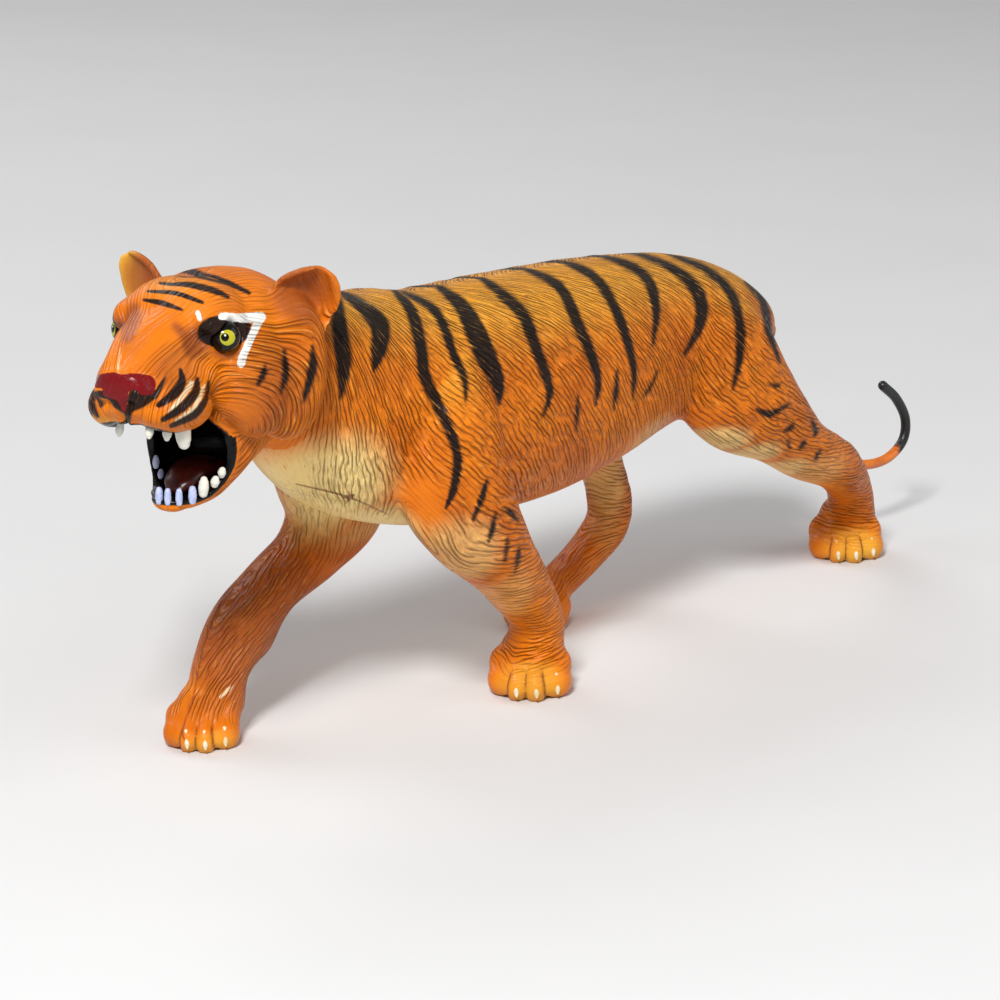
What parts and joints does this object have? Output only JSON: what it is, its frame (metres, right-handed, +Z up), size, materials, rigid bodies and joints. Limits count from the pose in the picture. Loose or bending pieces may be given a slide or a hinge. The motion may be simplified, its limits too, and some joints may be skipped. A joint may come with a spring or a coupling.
{
  "type": "tiger figurine",
  "caption": "Striding tiger figure with open mouth, upright ears and curled tail, moulded in one piece, stands on four paws.",
  "frame": {"origin": "middle of the bounding box, on the ground under the belly", "axes": "nose towards -X, tail towards +X, the tiger's left side towards -Y, +Z up"},
  "size_m": [0.3172, 0.064, 0.1251],
  "materials": {
    "painted_vinyl": "satin hand-painted soft vinyl with moulded fur"
  },
  "bodies": {
    "root": {"tiger_figure": "painted_vinyl"}
  },
  "joints": []
}
